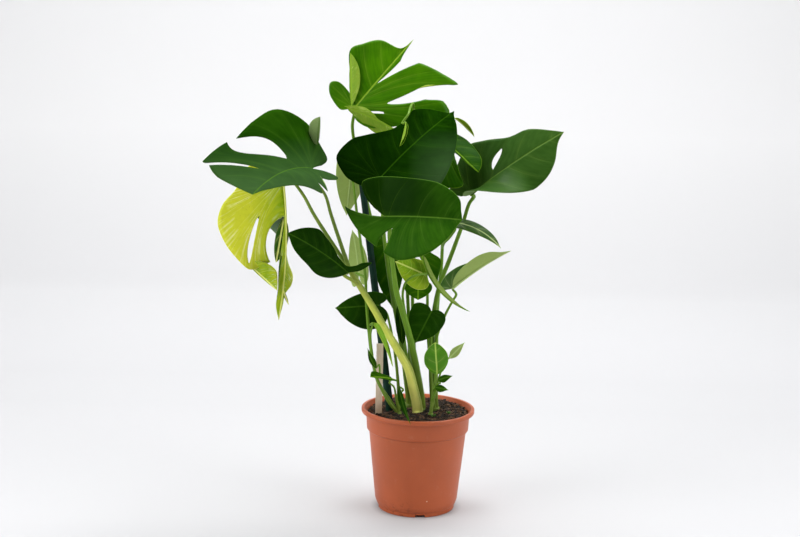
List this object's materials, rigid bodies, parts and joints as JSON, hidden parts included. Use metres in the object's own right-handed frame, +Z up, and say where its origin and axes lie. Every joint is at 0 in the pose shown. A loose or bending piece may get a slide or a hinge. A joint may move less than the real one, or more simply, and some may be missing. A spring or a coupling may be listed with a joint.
{
  "type": "potted monstera plant",
  "caption": "Potted monstera plant with split heart-shaped leaves on long stalks, a support stake and a label stick in a round nursery pot.",
  "frame": {"origin": "centre of the flat underside of the pot, on the surface it stands on", "axes": "+Z up, +X to the right and -Y towards the viewer of the front view, in metres"},
  "size_m": [0.6206, 0.3851, 0.8661],
  "materials": {
    "terracotta_plastic": "satin moulded plastic",
    "peat": "loose and matte",
    "green_plastic": "satin plastic coating",
    "pale_wood": "bare wood",
    "stalk_yellow": "smooth living stalk",
    "stalk_green": "smooth living stalk",
    "leaf_dark": "glossy living leaf",
    "leaf_lime": "glossy living leaf",
    "leaf_bright": "glossy living leaf",
    "leaf_pale": "glossy living leaf"
  },
  "bodies": {
    "root": {"pot": "terracotta_plastic", "peat": "peat", "stake": "green_plastic", "label_stick": "pale_wood", "stems_left": "stalk_yellow", "stem_middle": "stalk_green", "stems_back": "stalk_green", "stems_right": "stalk_green", "stems_young": "stalk_green", "stems_left_young": "stalk_green", "leaf_left_large": "leaf_dark", "leaf_left_hanging": "leaf_lime", "leaf_crown": "leaf_bright", "leaf_front_upper": "leaf_dark", "leaf_front_lower": "leaf_dark", "leaf_right_large": "leaf_dark", "leaf_right_behind": "leaf_bright", "leaf_back_pale": "leaf_pale", "leaf_left_middle": "leaf_dark", "leaf_left_edge": "leaf_pale", "leaf_left_low": "leaf_dark", "leaf_new_rolled": "leaf_lime", "leaf_left_small": "leaf_dark", "leaf_left_tiny": "leaf_dark", "leaf_right_round": "leaf_dark", "leaf_young_round": "leaf_bright", "leaf_young_behind": "leaf_pale", "leaf_young_small": "leaf_dark", "leaf_young_low": "leaf_dark", "leaf_right_folded": "leaf_pale", "leaf_right_drooping": "leaf_pale", "leaf_centre_folded": "leaf_bright", "leaf_centre_lime": "leaf_lime", "leaf_centre_dark": "leaf_dark", "leaf_centre_behind": "leaf_dark", "leaf_centre_narrow": "leaf_dark", "sheath_withered": "leaf_dark", "leaf_crown_young": "leaf_pale", "leaf_bud": "leaf_pale"}
  },
  "joints": []
}
